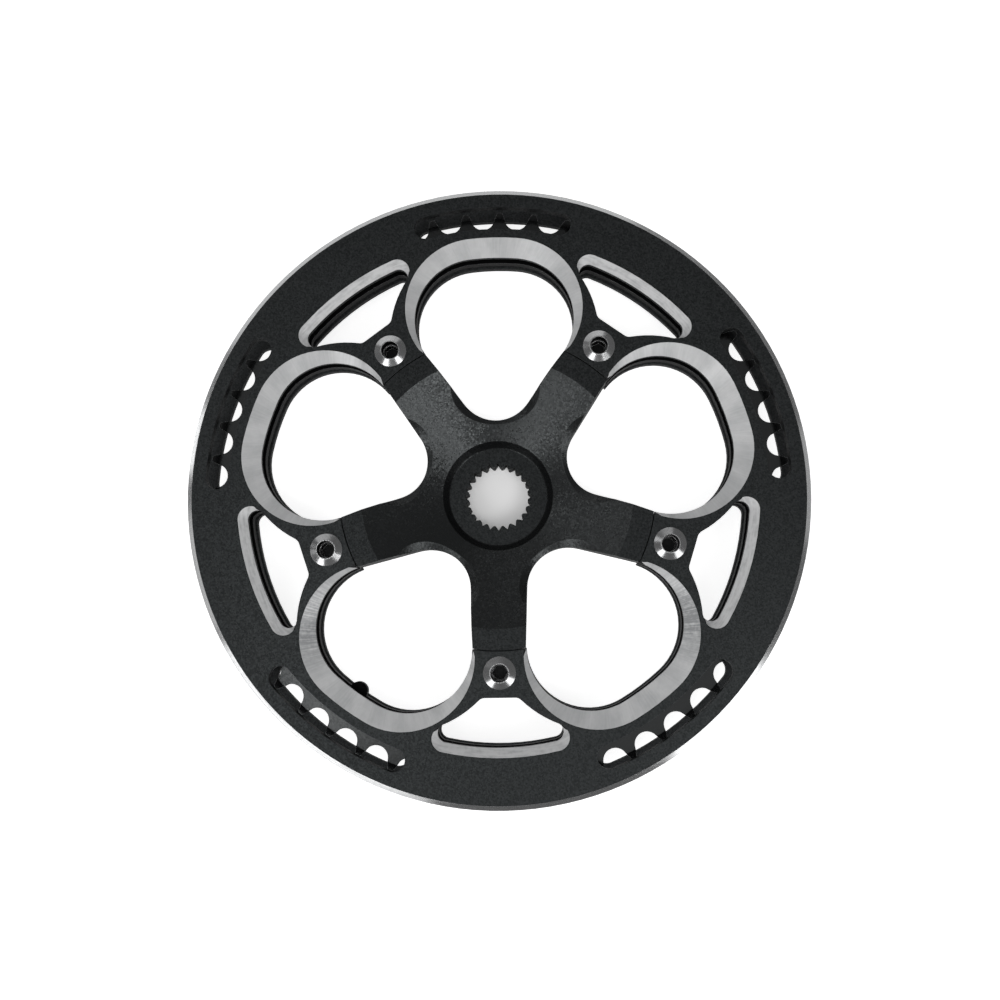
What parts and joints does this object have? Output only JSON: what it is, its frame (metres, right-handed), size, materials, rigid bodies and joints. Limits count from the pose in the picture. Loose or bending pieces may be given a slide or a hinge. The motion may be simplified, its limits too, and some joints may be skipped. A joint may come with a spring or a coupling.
{
  "type": "bicycle chainring",
  "caption": "Bicycle chainring bolted between black guard plates on a dished, splined spider, with bare silver bevels round its petal openings.",
  "frame": {"origin": "on the chainring's axis, in the plane of the hub's back face, where the part lies", "axes": "+Z along the axis towards the front guard's outer face, +Y through the middle of a petal opening, +X to the right seen from the front"},
  "size_m": [0.226, 0.226, 0.0283],
  "materials": {
    "spider_black": "bead-blasted black anodised, satin",
    "guard_black": "satin black anodised with bare machined bevels",
    "ring_grey": "dark grey anodised, fine turned grain",
    "bolt_silver": "bright turned",
    "nut_steel": "turned",
    "spacer_grey": "turned"
  },
  "bodies": {
    "root": {"spider": "spider_black", "front_guard": "guard_black", "chainring": "ring_grey", "rear_guard": "guard_black", "chainring_bolts": "bolt_silver", "sleeve_nuts": "nut_steel", "guard_spacers": "spacer_grey"}
  },
  "joints": []
}
